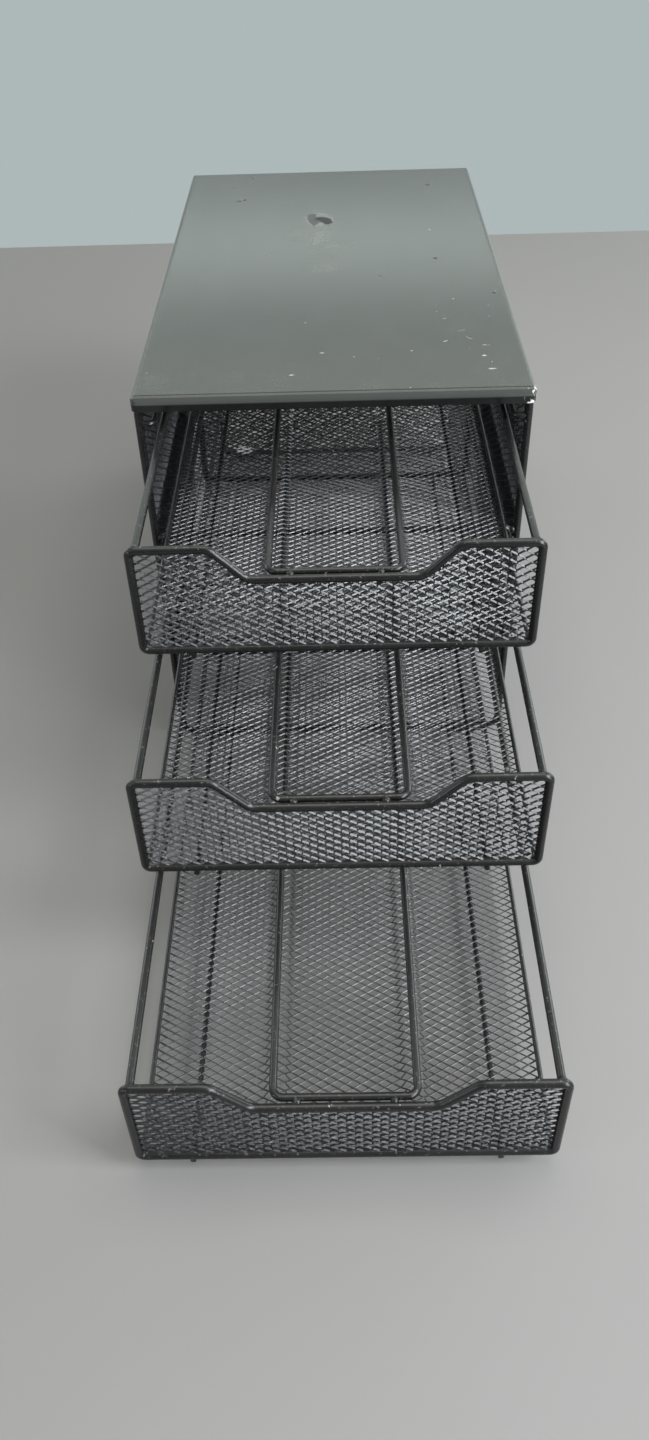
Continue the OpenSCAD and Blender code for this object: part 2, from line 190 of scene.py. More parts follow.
class Tree:
    """A node tree that hands out signals."""

    def __init__(self, tree):
        self.tree = tree

    def add(self, kind, settings=None, sockets=None, out=0):
        """Adds a node, with its settings first, and then a value, signal or list of signals for a socket."""
        node = self.tree.nodes.new(kind)
        for name, value in (settings or {}).items():
            setattr(node, name, value)
        for key, value in (sockets or {}).items():
            for item in value if isinstance(value, list) else [value]:
                if isinstance(item, Signal):
                    self.tree.links.new(item.socket, node.inputs[key])
                else:
                    node.inputs[key].default_value = item
        return Signal(self, node.outputs[out]) if len(node.outputs) else None

    def noise(self, place, scale, detail=3.0, roughness=0.5):
        return self.add("ShaderNodeTexNoise", None, {
            "Vector": place, "Scale": scale, "Detail": detail, "Roughness": roughness})

    def step(self, value, low, high, out_low=0.0, out_high=1.0):
        """A smooth step from out_low, where the value is low, to out_high, where it is high."""
        return self.add("ShaderNodeMapRange", {"interpolation_type": "SMOOTHSTEP"}, {
            "Value": value, "From Min": low, "From Max": high, "To Min": out_low, "To Max": out_high})

    def blend(self, factor, a, b):
        return self.add("ShaderNodeMix", {"data_type": "RGBA"}, {0: factor, 6: a, 7: b}, out=2)

    def layers(self, color, *coats):
        """Lays coats over a colour in turn, each of them a mask and its own colour."""
        for mask, coat in coats:
            color = self.blend(mask, color, coat)
        return color

    def vector(self, x, y, z):
        return self.add("ShaderNodeCombineXYZ", None, {"X": x, "Y": y, "Z": z})

    def split(self, vector):
        x = self.add("ShaderNodeSeparateXYZ", None, {"Vector": vector})
        return x, x.out("Y"), x.out("Z")

    def vectors(self, operation, a, b=None, scale=None, out=0):
        sockets = {0: a}
        if b is not None:
            sockets[1] = b
        if scale is not None:
            sockets["Scale"] = scale
        return self.add("ShaderNodeVectorMath", {"operation": operation}, sockets, out=out)

    def bump(self, height, strength, distance):
        return self.add("ShaderNodeBump", None, {
            "Strength": strength, "Distance": distance, "Height": height})


# ---- Colours ----------------------------------------------------------------

def rgb(*values):
    """A colour from its linear red, green and blue."""
    return (*values, 1.0)


# Black coat on wire.
WIRE_COAT_DEEP = rgb(0.006, 0.006, 0.0058)
WIRE_COAT_PALE = rgb(0.011, 0.0108, 0.0104)
# Dust on the wires' tops, which also stands in for painted light from above.
WIRE_DUST_AND_TOP_LIGHT = rgb(0.036, 0.035, 0.032)
WIRE_SPECK = rgb(0.3, 0.3, 0.28)
WIRE_CHIP = rgb(0.33, 0.32, 0.3)

# Black coat on expanded metal.
MESH_COAT_DEEP = rgb(0.006, 0.0068, 0.008)
MESH_COAT_PALE = rgb(0.014, 0.0155, 0.0175)
SHEARED_EDGE = rgb(0.115, 0.115, 0.112)
MESH_FLECK = rgb(0.24, 0.24, 0.24)
# Painted glints on a few strands.
PAINTED_STRAND_GLINT = rgb(0.95, 0.96, 0.94)

# Grey-green coat of the top panel, painted shade on its turned edges with a painted band of light along their
# upper part, its wear, and a painted highlight on its front corner.
TOP_COAT_DEEP = rgb(0.033, 0.037, 0.03)
TOP_COAT_PALE = rgb(0.041, 0.045, 0.037)
PAINTED_EDGE_SHADE = rgb(0.006, 0.0065, 0.0065)
PAINTED_EDGE_LIGHT = rgb(0.076, 0.081, 0.075)
TOP_HAZE = rgb(0.085, 0.09, 0.082)
TOP_GRAIN = rgb(0.1, 0.105, 0.098)
RUBBED_COAT = rgb(0.17, 0.178, 0.16)
CHIP_RIM_COAT = rgb(0.12, 0.127, 0.112)
PRIMER = rgb(0.03, 0.031, 0.028)
WORN_BEND = rgb(0.2, 0.21, 0.19)
TOP_DUST = rgb(0.4, 0.4, 0.38)
DARK_MARK = rgb(0.012, 0.012, 0.011)
BRIGHT_MARK = rgb(0.5, 0.5, 0.46)
PAINTED_CORNER_HIGHLIGHT = rgb(0.7, 0.7, 0.68)

# Rubber feet.
RUBBER_DEEP = rgb(0.012, 0.012, 0.012)
RUBBER_PALE = rgb(0.03, 0.03, 0.029)

# The studio: its floor, the light from all round, and the wall that reflections show.
FLOOR_DEEP = rgb(0.3, 0.293, 0.282)
FLOOR_PALE = rgb(0.32, 0.313, 0.302)
ROOM_LIGHT = rgb(0.11, 0.115, 0.118)
WALL_BEHIND = rgb(0.12, 0.125, 0.13)
WALL_AHEAD = rgb(0.42, 0.48, 0.485)


# ---- Finishes ---------------------------------------------------------------

# How deep the grain is on the black coat and the rubber, and the chip in the top panel.
GRAIN_DEPTH = 0.4 * MM
CHIP_DEPTH = 0.5 * MM

# The upward part of a surface's normal, where it starts to count as facing up and where it does.
UPWARD_FADE = (0.2, 0.85)

# Where painted glints sit on a few strands of the top drawer's floor, and how they fade out.
STRAND_GLINT_PLACE = (-47.5 * MM, -84.6 * MM, 135.2 * MM)
STRAND_GLINT_FADE = (5.0 * MM, 3.4 * MM)

# Where a painted highlight sits on the panel's front corner, and how it fades out.
CORNER_HIGHLIGHT_PLACE = (89.0 * MM, -160.0 * MM, 198.5 * MM)
CORNER_HIGHLIGHT_FADE = (5.5 * MM, 4.0 * MM)

# The worn line along the panel's bends, between nothing and full: in from the sides, in from
# the front and rear, and down from the top.
SIDE_BEND_FADE = (2.2 * MM, 0.9 * MM)
END_BEND_FADE = (0.9 * MM, 0.35 * MM)
TOP_BEND_FADE = (2.2 * MM, 0.8 * MM)

# How far down the panel's turned edges a band of painted light reaches, between nothing and full.
PAINTED_EDGE_LIGHT_FADE = (4.2 * MM, 3.2 * MM)

# Marks on the top panel. Places are in mm from its middle, half sizes in mm, turns in degrees.
# Rubbed patches and flakes: x, y, half sizes, turn, strength.
RUBBED_PATCHES = [
    (-6.6, 37.0, 5.4, 19.0, -4, 0.75), (-19.4, 41.5, 7.2, 14.0, 8, 0.35), (-3.4, 22.0, 11.5, 6.0, 6, 0.6),
    (-4.5, -13.7, 9.0, 12.0, -4, 0.34), (2.1, 3.3, 3.2, 1.6, 10, 0.5), (7.0, 21.0, 6.0, 5.0, 0, 0.4),
    (-34.3, 11.6, 3.0, 2.0, 30, 0.25), (25.2, -22.7, 2.6, 1.6, 0, 0.25), (-79.0, -146.0, 7.0, 8.0, 0, 0.08),
    (-28.0, 100.0, 7.0, 3.0, 12, 0.25), (-36.0, 92.0, 4.0, 2.0, 0, 0.2),
]
FLAKES = [
    (54.9, -82.7, 1.6, 0.45, 8, 0.6), (53.3, -109.1, 2.0, 0.6, 34, 0.9), (71.0, -114.5, 1.7, 0.5, 4, 0.9),
    (69.6, -126.0, 1.5, 1.1, 10, 1.0), (71.8, -139.9, 2.6, 0.8, 2, 1.0), (-12.7, -83.7, 0.9, 0.4, 4, 0.7),
    (-4.7, -118.8, 1.5, 0.6, -4, 0.9), (-18.3, -141.6, 1.7, 0.6, 6, 0.95), (10.0, -124.0, 0.9, 0.5, 10, 0.6),
    (61.7, -97.5, 3.0, 0.4, 20, 0.4), (64.5, -106.0, 3.4, 0.4, -48, 0.45), (83.4, -49.8, 1.2, 0.5, 30, 0.8),
]
# The deep chip, the primer round it and its pale rim: x, y, half sizes, turn.
CHIP_DEEP = (-3.6, 63.8, 3.9, 8.0, 24)
CHIP_PRIMER = (-10.2, 67.3, 3.4, 10.5, 4)
CHIP_RIM = (-6.8, 66.0, 8.4, 13.2, 8)
CHIP_RIM_STRENGTH = 0.6
# Specks: x, y, size, strength.
BRIGHT_SPECKS = [
    (56.6, 43.9, 0.9, 0.6), (46.8, 30.6, 0.6, 0.35), (61.2, -58.3, 0.55, 1.0), (51.8, -73.8, 0.5, 0.4),
    (36.9, -118.7, 0.7, 0.9), (77.8, -67.5, 0.5, 0.4), (76.4, -81.1, 0.5, 0.4), (34.1, -157.0, 0.5, 0.7),
    (73.1, -114.6, 0.45, 0.6), (72.6, -132.7, 0.4, 0.5), (21.0, -126.5, 0.4, 0.5), (52.0, -66.0, 0.45, 0.35),
    (-84.4, -135.9, 0.5, 0.4), (-20.0, 122.0, 0.5, 0.6), (64.0, -117.0, 0.4, 0.5),
]
DARK_SPECKS = [
    (61.0, 125.9, 1.5, 0.75), (56.3, -1.3, 1.2, 0.8), (82.4, -51.8, 1.3, 0.8), (-56.0, 103.0, 1.6, 0.6),
    (-52.5, 105.5, 1.4, 0.7), (-50.0, 147.0, 1.0, 0.5), (-61.0, 128.0, 0.9, 0.5), (26.0, -25.0, 0.9, 0.4),
]
# A bright speck's half sizes as parts of its size, its turn, and how much smaller than its
# half sizes a flake is drawn.
SPECK_LONG = 0.8
SPECK_SHORT = 0.7
SPECK_TURN = 20
FLAKE_SCALE = 0.75

# The middle of a noise's colour, taken off so that a mark stays where it is.
NOISE_MIDDLE = (0.5, 0.5, 0.5)

# How uneven a mark's outline is: the scale of its noise, and how far that noise moves it.
LOOSE_OUTLINE = (95.0, 14.0 * MM)
TORN_OUTLINE = (170.0, 9.0 * MM)
TIGHT_OUTLINE = (800.0, 1.6 * MM)

# Where a mark starts and where it is full, as parts of the way from its middle to its outline.
RUBBED_FADE = (1.15, 0.55)
CHIP_FADE = (1.1, 0.85)
PRIMER_FADE = (1.1, 0.9)
RIM_FADE = (1.05, 0.9)
SPECK_FADE = (1.2, 0.6)


def new_finish(name):
    """An empty material, its tree, and the place on the object as a signal."""
    material = bpy.data.materials.new(name)
    material.use_nodes = True
    material.node_tree.nodes.clear()
    build = Tree(material.node_tree)
    return material, build, build.add("ShaderNodeTexCoord", out="Object")


def close_finish(build, shader_sockets):
    """Ends a material with one Principled shader."""
    surface = build.add("ShaderNodeBsdfPrincipled", None, shader_sockets, out="BSDF")
    build.add("ShaderNodeOutputMaterial", None, {"Surface": surface})


def facing_up(build):
    """1 where a surface faces up, and 0 where it faces sideways or down."""
    upward = build.split(build.add("ShaderNodeNewGeometry", out="Normal"))[2]
    return build.step(upward, *UPWARD_FADE)


def coated_wire():
    """Satin black powder coat on round wire, dusty and painted lighter on top as light from above, with a
    fine orange peel and a few chips.
    """
    material, build, place = new_finish("satin_black_wire")
    cloud = build.noise(place, 60.0, 4.0)
    peel = build.noise(place, 1300.0, 2.0)
    speck = build.step(build.noise(place, 850.0, 2.0), 0.63, 0.72)
    chip = build.step(build.noise(place, 190.0, 2.0, 0.6), 0.735, 0.75)
    # Upward faces take dust and a lighter tone that is painted light from above.
    dust = facing_up(build) * build.step(cloud, 0.3, 0.7, 0.6, 1.0)
    close_finish(build, {
        "Base Color": build.layers(
            build.blend(cloud, WIRE_COAT_DEEP, WIRE_COAT_PALE),
            (dust * 0.4, WIRE_DUST_AND_TOP_LIGHT),
            (speck * (0.06 + dust * 0.5), WIRE_SPECK),
            (chip, WIRE_CHIP)),
        "Roughness": 0.22 + cloud * 0.08 + dust * 0.05 + speck * 0.1,
        "Specular IOR Level": 0.5,
        "Normal": build.bump(peel - chip * 0.6, 0.14, GRAIN_DEPTH),
    })
    return material


def coated_mesh():
    """The same coat on expanded metal, thinner and brighter along the sheared edges, with painted glints on a
    few strands of the top drawer's floor.
    """
    material, build, place = new_finish("satin_black_mesh")
    cloud = build.noise(place, 75.0, 4.0)
    grain = build.noise(place, 620.0, 2.0)
    edge = build.add("ShaderNodeAttribute", {"attribute_name": "sheared"}, out="Fac")
    from_spot = build.vectors("DISTANCE", place, STRAND_GLINT_PLACE, out="Value")
    close_finish(build, {
        "Base Color": build.layers(
            build.blend(cloud, MESH_COAT_DEEP, MESH_COAT_PALE),
            (edge * (0.2 + grain * 0.5), SHEARED_EDGE),
            (build.step(grain, 0.62, 0.74) * 0.5, MESH_FLECK),
            # Painted glints, near white, on a few strands of the top drawer's floor.
            (build.step(from_spot, *STRAND_GLINT_FADE) * build.step(grain, 0.3, 0.4), PAINTED_STRAND_GLINT)),
        "Roughness": 0.24 + grain * 0.1 - edge * 0.04,
        "Specular IOR Level": 0.7,
        "Normal": build.bump(grain, 0.2, GRAIN_DEPTH),
    })
    return material


def strayed(build, place, scale, reach):
    """The place, moved about by noise, which makes a mark's outline uneven."""
    cloud = build.noise(place, scale, 4.0, 0.6).out("Color")
    wander = build.vectors("SUBTRACT", cloud, NOISE_MIDDLE)
    return build.vectors("ADD", place, build.vectors("SCALE", wander, scale=reach))


def gather(masks):
    """One mask, everywhere as strong as the strongest of those given."""
    total = masks[0]
    for mask in masks[1:]:
        total = total | mask
    return total


def top_marks(build, place):
    """The masks of the top panel's marks, by name."""
    loose = strayed(build, place, *LOOSE_OUTLINE)
    torn = strayed(build, place, *TORN_OUTLINE)
    tight = strayed(build, place, *TIGHT_OUTLINE)

    def mark(where, fade, x, y, half_x, half_y, turn, strength=1.0):
        """One oval mark with a soft outline."""
        local = build.add("ShaderNodeMapping", {"vector_type": "TEXTURE"}, {
            "Vector": where, "Location": (x * MM, y * MM, PANEL_TOP),
            "Rotation": (0, 0, math.radians(turn)), "Scale": (half_x * MM, half_y * MM, 1.0)})
        from_middle = build.vectors("LENGTH", local, out="Value")
        return build.step(from_middle, *fade, out_high=strength)

    specks = [mark(tight, SPECK_FADE, x, y, size * SPECK_LONG, size * SPECK_SHORT, SPECK_TURN, strength)
              for x, y, size, strength in BRIGHT_SPECKS]
    flakes = [mark(tight, SPECK_FADE, x, y, half_x * FLAKE_SCALE, half_y * FLAKE_SCALE, turn, strength)
              for x, y, half_x, half_y, turn, strength in FLAKES]
    from_corner = build.vectors("DISTANCE", tight, CORNER_HIGHLIGHT_PLACE, out="Value")
    return {
        "rubbed": gather([mark(loose, RUBBED_FADE, *patch) for patch in RUBBED_PATCHES]),
        "rim": mark(torn, RIM_FADE, *CHIP_RIM, CHIP_RIM_STRENGTH),
        "primer": mark(torn, PRIMER_FADE, *CHIP_PRIMER),
        "chip": mark(torn, CHIP_FADE, *CHIP_DEEP),
        "bright": gather(specks + flakes),
        "dark": gather([mark(tight, SPECK_FADE, x, y, size, size, 0, strength)
                        for x, y, size, strength in DARK_SPECKS]),
        "corner_highlight": build.step(from_corner, *CORNER_HIGHLIGHT_FADE),
    }


def worn_top():
    """Grey-green satin coat of the top panel: rubbed patches, one deep chip, specks and flakes, with painted
    shade and a painted band of light on its turned edges and a painted highlight on its front corner.
    """
    material, build, place = new_finish("worn_grey_green_top")
    cloud = build.noise(place, 8.0, 4.0)
    middle = build.noise(place, 60.0, 6.0, 0.65)
    fine = build.noise(place, 700.0, 3.0)
    dust = build.step(build.noise(place, 1500.0, 1.0), 0.72, 0.78)
    upper = facing_up(build)
    x, y, z = build.split(place)

    def near(value, end, fade):
        """1 where a value is close to its end, fading over two distances from it."""
        return build.step(value, end - fade[0], end - fade[1])

    sides = near(abs(x), PANEL_X, SIDE_BEND_FADE)
    ends = near(abs(y), PANEL_Y, END_BEND_FADE)
    bend = (sides | ends * 0.25) * near(z, PANEL_TOP, TOP_BEND_FADE)
    # A band of painted light along the upper part of the turned edges, where their bend would catch light.
    edge_light_mask = near(z, PANEL_TOP, PAINTED_EDGE_LIGHT_FADE) * (1.0 - upper)

    marks = top_marks(build, place)
    rubbed = marks["rubbed"] * build.step(middle, 0.36, 0.56, 0.5, 1.0)
    # A painted highlight on the panel's front corner, broken up by noise.
    corner_highlight = marks["corner_highlight"] * build.step(build.noise(place, 420.0, 2.0), 0.48, 0.54)
    deep = marks["chip"] | marks["dark"]
    coat = build.blend(cloud, TOP_COAT_DEEP, TOP_COAT_PALE)
    relief = fine * 0.05 + middle * 0.12 - (marks["chip"] | marks["primer"])
    close_finish(build, {
        "Base Color": build.layers(
            # The panel's faces that don't face up are painted near black as shade.
            build.blend(upper, PAINTED_EDGE_SHADE, coat),
            (edge_light_mask, PAINTED_EDGE_LIGHT),
            (upper * build.step(middle, 0.4, 0.75) * 0.25, TOP_HAZE),
            (upper * build.step(fine, 0.5, 0.8) * 0.08, TOP_GRAIN),
            (rubbed, RUBBED_COAT),
            (marks["rim"], CHIP_RIM_COAT),
            (marks["primer"], PRIMER),
            (bend * 0.8, WORN_BEND),
            (upper * dust * 0.2, TOP_DUST),
            (deep, DARK_MARK),
            (marks["bright"], BRIGHT_MARK),
            (corner_highlight, PAINTED_CORNER_HIGHLIGHT)),
        "Roughness": (0.17 + cloud * 0.03 + fine * 0.01 + rubbed * 0.12 + deep * 0.35
                      + marks["primer"] * 0.16),
        "Specular IOR Level": 0.5,
        "Normal": build.bump(relief, 0.1, CHIP_DEPTH),
    })
    return material


def foot_rubber():
    """Matt black rubber."""
    material, build, place = new_finish("black_rubber")
    cloud = build.noise(place, 160.0, 3.0)
    close_finish(build, {
        "Base Color": build.blend(cloud, RUBBER_DEEP, RUBBER_PALE),
        "Roughness": 0.7 + cloud * 0.15,
        "Normal": build.bump(cloud, 0.2, GRAIN_DEPTH),
    })
    return material


WIRE = coated_wire()
MESH = coated_mesh()
TOP = worn_top()
RUBBER = foot_rubber()


# ---- Geometry Nodes ---------------------------------------------------------

# A point of the grid further than this from the outline's face lies outside it.
OUTSIDE = 0.05 * MM
# Keeps a whole number from falling short of itself when it is rounded down.
ROUNDING = 0.0001
# A face of a strand whose normal points this far across the strand is a sheared edge.
ACROSS = 0.5
# About a full turn, in radians.
FULL_TURN = 6.28


def new_group(name, inputs):
    """An empty Geometry Nodes tree with named inputs, and a signal for each."""
    group = bpy.data.node_groups.new(name, "GeometryNodeTree")
    for label, kind in inputs:
        group.interface.new_socket(label, in_out="INPUT", socket_type="NodeSocket" + kind)
    group.interface.new_socket("Result", in_out="OUTPUT", socket_type="NodeSocketGeometry")
    build = Tree(group)
    given = group.nodes.new("NodeGroupInput")
    return group, build, {socket.name: Signal(build, socket) for socket in given.outputs if socket.name}


def close_group(build, result, coat):
    """Ends a tree: its instances made real, in one coat."""
    solid = build.add("GeometryNodeRealizeInstances", None, {"Geometry": result})
    coated = build.add("GeometryNodeSetMaterial", None, {"Geometry": solid, "Material": coat})
    build.add("NodeGroupOutput", None, {0: coated})


def store(build, geometry, domain, name, value):
    """The geometry with a number stored on it under a name."""
    return build.add("GeometryNodeStoreNamedAttribute", {"data_type": "FLOAT", "domain": domain}, {
        "Geometry": geometry, "Name": name, "Value": value})


def stored(build, name):
    """A number stored on the geometry under a name."""
    return build.add("GeometryNodeInputNamedAttribute", {"data_type": "FLOAT"}, {"Name": name})


def expanded_metal():
    """Fills a flat outline, in its own XY plane, with leaning strands and their bonds."""
    group, build, given = new_group("expanded_metal", [
        ("Outline", "Geometry"), ("Long Way", "Float"), ("Short Way", "Float"),
        ("Columns", "Int"), ("Rows", "Int"), ("Centre", "Vector"),
        ("Strand Width", "Float"), ("Strand Thickness", "Float"), ("Strand Lean", "Float"),
        ("Bond Length", "Float"), ("Bond Width", "Float"), ("Coat", "Material")])
    half_long = given["Long Way"] * 0.5
    half_short = given["Short Way"] * 0.5
    slope = half_short.arctan2(half_long)
    reach = (half_long * half_long + half_short * half_short) ** 0.5

    def places(columns, rows):
        """Points half a diamond apart inside the outline, every other one stored as odd."""
        grid = build.add("GeometryNodeMeshGrid", None, {
            "Size X": (columns - 1) * half_long, "Size Y": (rows - 1) * half_short,
            "Vertices X": columns, "Vertices Y": rows})
        index = build.add("GeometryNodeInputIndex")
        column = (index / rows + ROUNDING).floor()
        row = index - column * rows
        marked = store(build, grid, "POINT", "odd", (column + row) % 2.0 > 0.5)
        centred = build.add("GeometryNodeTransform", None, {
            "Geometry": marked, "Translation": given["Centre"]})
        points = build.add("GeometryNodeMeshToPoints", None, {"Mesh": centred})
        distance = build.add("GeometryNodeProximity", {"target_element": "FACES"}, {
            0: given["Outline"]}, out="Distance")
        return build.add("GeometryNodeDeleteGeometry", {"domain": "POINT"}, {
            "Geometry": points, "Selection": distance > OUTSIDE})

    def bar(length, width, turn):
        """A flat bar along X that leans about its length and turns in the plane, its sheared edges marked."""
        block = build.add("GeometryNodeMeshCube", None, {
            "Size": build.vector(length, width, given["Strand Thickness"])})
        across = build.split(build.add("GeometryNodeInputNormal"))[1]
        return build.add("GeometryNodeTransform", None, {
            "Geometry": store(build, block, "FACE", "sheared", abs(across) > ACROSS),
            "Rotation": build.vector(given["Strand Lean"], 0.0, turn)})

    def strewn(points, chosen, instance):
        return build.add("GeometryNodeInstanceOnPoints", None, {
            "Points": points, "Selection": chosen, "Instance": instance})

    odd = stored(build, "odd")
    columns, rows = given["Columns"], given["Rows"]
    middles = places(columns, rows)
    rising = strewn(middles, odd < 0.5, bar(reach, given["Strand Width"], slope))
    falling = strewn(middles, odd > 0.5, bar(reach, given["Strand Width"], slope * -1.0))
    bonds = strewn(places(columns + 1, rows + 1), odd < 0.5,
                   bar(given["Bond Length"], given["Bond Width"], 0.0))
    joined = build.add("GeometryNodeJoinGeometry", None, {"Geometry": [rising, falling, bonds]})
    close_group(build, joined, given["Coat"])
    return group


def pressed_ribs():
    """Folds a flat lattice into two ribs that run along Y, mirrored about X = 0."""
    group, build, given = new_group("pressed_ribs", [
        ("Lattice", "Geometry"), ("Rise At", "Float"), ("Fall At", "Float"), ("Slope", "Float"),
        ("Height", "Float"), ("Take Up", "Float"), ("Coat", "Material")])
    x, y, z = build.split(build.add("GeometryNodeInputPosition"))
    from_middle = abs(x)

    def ramp(start):
        return build.add("ShaderNodeMapRange", None, {
            "Value": from_middle, "From Min": start, "From Max": start + given["Slope"]})

    rise, fall = ramp(given["Rise At"]), ramp(given["Fall At"])
    folded_x = x.sign() * (from_middle - (rise + fall) * given["Take Up"])
    folded = build.vector(folded_x, y, z + (rise - fall) * given["Height"])
    pressed = build.add("GeometryNodeSetPosition", None, {
        "Geometry": given["Lattice"], "Position": folded})
    close_group(build, pressed, given["Coat"])
    return group


def lumpy_beads():
    """A lumpy bead on each given spot, sized by the spot's own radius."""
    group, build, given = new_group("weld_beads", [
        ("Spots", "Geometry"), ("Roundness", "Int"), ("Unevenness", "Float"), ("Seed", "Int"),
        ("Coat", "Material")])
    ball = build.add("GeometryNodeMeshIcoSphere", None, {
        "Radius": 1.0, "Subdivisions": given["Roundness"]})
    least = 1.0 - given["Unevenness"]
    most = 1.0 + given["Unevenness"]
    size = build.add("FunctionNodeRandomValue", {"data_type": "FLOAT_VECTOR"}, {
        "Min": build.vector(least, least, least), "Max": build.vector(most, most, most),
        "Seed": given["Seed"]})
    turn = build.add("FunctionNodeRandomValue", {"data_type": "FLOAT_VECTOR"}, {
        "Min": (0, 0, 0), "Max": (FULL_TURN, FULL_TURN, FULL_TURN), "Seed": given["Seed"]})
    beads = build.add("GeometryNodeInstanceOnPoints", None, {
        "Points": build.add("GeometryNodeMeshToPoints", None, {"Mesh": given["Spots"]}),
        "Instance": build.add("GeometryNodeSetShadeSmooth", None, {"Geometry": ball}),
        "Rotation": turn, "Scale": build.vectors("SCALE", size, scale=stored(build, "bead"))})
    close_group(build, beads, given["Coat"])
    return group


EXPANDED = expanded_metal()
RIBS = pressed_ribs()
BEADS = lumpy_beads()


# ---- Making and placing pieces ----------------------------------------------

def add_object(name, data):
    made = bpy.data.objects.new(name, data)
    bpy.context.scene.collection.objects.link(made)
    return made


def run_tree(name, mesh, group, settings):
    """Evaluates one Geometry Nodes tree on a mesh and returns the plain mesh it makes."""
    holder = add_object(name, mesh)
    modifier = holder.modifiers.new("make", "NODES")
    modifier.node_group = group
    for item in group.interface.items_tree:
        if item.item_type == "SOCKET" and item.in_out == "INPUT" and item.name in settings:
            modifier[item.identifier] = settings[item.name]
    made = bpy.data.meshes.new_from_object(holder.evaluated_get(bpy.context.evaluated_depsgraph_get()))
    bpy.data.objects.remove(holder)
    made.name = name
    for attribute in ("odd", "bead"):
        if attribute in made.attributes:
            made.attributes.remove(made.attributes[attribute])
    return made


def place_piece(name, mesh, matrix, body, slot, *replaced):
    """A copy of a mesh, laid by a matrix, as a piece that rides on a body."""
    copy = mesh.copy()
    copy.name = name
    copy.transform(matrix)
    piece = add_object(name, copy)
    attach(piece, body)
    if replaced:
        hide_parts(*replaced)


def drawer_base(tier):
    """The middle of the bottom wire of a drawer's front frame, with the drawer at rest."""
    return Vector((0, -FRAME_Y - OPENED[tier], LEDGES[tier] + DRAWER_LIFT))


# ---- Expanded-metal panels --------------------------------------------------

def expanded_panel(name, outline):
    """Expanded metal inside a flat outline, given as (long way, short way) points."""
    low = [min(point[way] for point in outline) for way in (0, 1)]
    high = [max(point[way] for point in outline) for way in (0, 1)]
    flat = bpy.data.meshes.new(name + "_outline")
    flat.from_pydata([(*point, 0.0) for point in outline], [], [range(len(outline))])
    columns = 2 * math.ceil((high[0] - low[0]) / LONG_WAY) + 2
    rows = 2 * math.ceil((high[1] - low[1]) / SHORT_WAY) + 2
    return run_tree(name, flat, EXPANDED, {
        "Long Way": LONG_WAY, "Short Way": SHORT_WAY, "Columns": columns, "Rows": rows,
        "Centre": ((low[0] + high[0]) / 2, (low[1] + high[1]) / 2, 0.0),
        "Strand Width": STRAND_W, "Strand Thickness": STRAND_T, "Strand Lean": STRAND_LEAN,
        "Bond Length": BOND_L, "Bond Width": BOND_W, "Coat": MESH})


def rectangle(x0, y0, x1, y1):
    return [(x0, y0), (x1, y0), (x1, y1), (x0, y1)]


def axes(long_way, short_way, origin):
    """The matrix that lays a panel's two ways along the given directions."""
    long_way, short_way = Vector(long_way), Vector(short_way)
    matrix = Matrix((long_way, short_way, long_way.cross(short_way))).transposed().to_4x4()
    matrix.translation = Vector(origin)
    return matrix


def floor_panel():
    """A drawer's floor, with a flat sheet's width before the ribs are pressed into it."""
    half = EDGE_X + 2 * RIB_TAKE_UP
    flat = expanded_panel("flat_floor", rectangle(-half, 0, half, DRAWER_L))
    return run_tree("floor_lattice", flat, RIBS, {
        "Rise At": RIB_RISE_AT, "Fall At": RIB_FALL_AT, "Slope": RIB_SLOPE,
        "Height": RIB_HEIGHT, "Take Up": RIB_TAKE_UP, "Coat": MESH})


def front_panel():
    """A drawer's front, with the scoop in its upper edge."""
    half = DRAWER_W / 2
    right = [(half, 0), (half, DRAWER_H), (SCOOP_EDGE, DRAWER_H), (SCOOP_FLAT, SCOOP_Z)]
    left = [(-x, z) for x, z in right]
    return expanded_panel("front_lattice", [left[0], *right, *reversed(left[1:])])


def rear_panel():
    """A drawer's rear, a plain rectangle."""
    return expanded_panel("rear_lattice", rectangle(-DRAWER_W / 2, 0, DRAWER_W / 2, DRAWER_H))


def cabinet_panels():
    """The cabinet's two sides and its back."""
    side = expanded_panel("side_lattice", rectangle(-FRAME_Y, LOWER_RAIL_Z, FRAME_Y, UPPER_RAIL_Z))
    back = expanded_panel("back_lattice", rectangle(-POST_X, SILL_Z, POST_X, TOP_BAR_Z))
    place_piece("left_side_lattice", side, axes((0, 1, 0), (0, 0, 1), (-POST_X, 0, 0)),
                "cabinet", "mesh", "side_mesh_left")
    place_piece("right_side_lattice", side, axes((0, -1, 0), (0, 0, 1), (POST_X, 0, 0)),
                "cabinet", "mesh", "side_mesh_right")
    place_piece("back_lattice_panel", back, axes((-1, 0, 0), (0, 0, 1), (0, FRAME_Y, 0)),
                "cabinet", "mesh", "rear_mesh")


def drawer_panels():
    """The floor, front and rear of each drawer."""
    floor, front, rear = floor_panel(), front_panel(), rear_panel()
    for tier in OPENED:
        base = drawer_base(tier)
        body = tier + "_drawer"
        place_piece(tier + "_floor_lattice", floor,
                    axes((1, 0, 0), (0, 1, 0), base + Vector((0, 0, FLOOR_MESH_Z))),
                    body, "mesh", body + "_floor_mesh")
        place_piece(tier + "_front_lattice", front,
                    axes((1, 0, 0), (0, 0, 1), base),
                    body, "mesh", body + "_front_mesh")
        place_piece(tier + "_rear_lattice", rear,
                    axes((-1, 0, 0), (0, 0, 1), base + Vector((0, DRAWER_L, 0))),
                    body, "mesh", body + "_rear_mesh")


cabinet_panels()
drawer_panels()


# ---- Weld beads and strand ends ---------------------------------------------

